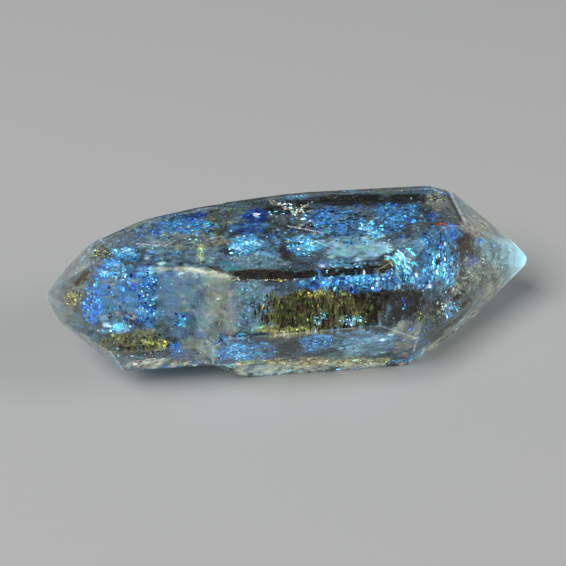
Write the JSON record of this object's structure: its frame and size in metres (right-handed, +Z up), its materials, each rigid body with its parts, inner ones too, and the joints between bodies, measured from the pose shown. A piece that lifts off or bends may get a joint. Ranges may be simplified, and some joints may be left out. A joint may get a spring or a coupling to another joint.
{
  "type": "petroleum quartz crystal",
  "caption": "Doubly pointed clear quartz crystal with oil and bitumen inclusions, stepped in the middle, lying on a flat prism face.",
  "frame": {"origin": "middle of the crystal's underside, on the surface that it rests on", "axes": "+X along the crystal's long axis towards the sharp point, +Z up out of the upper prism face, -Y towards the side that the picture shows"},
  "size_m": [0.0302, 0.0136, 0.008],
  "materials": {
    "clear_quartz": "glossy natural crystal faces"
  },
  "bodies": {
    "root": {"quartz_crystal": "clear_quartz"}
  },
  "joints": []
}
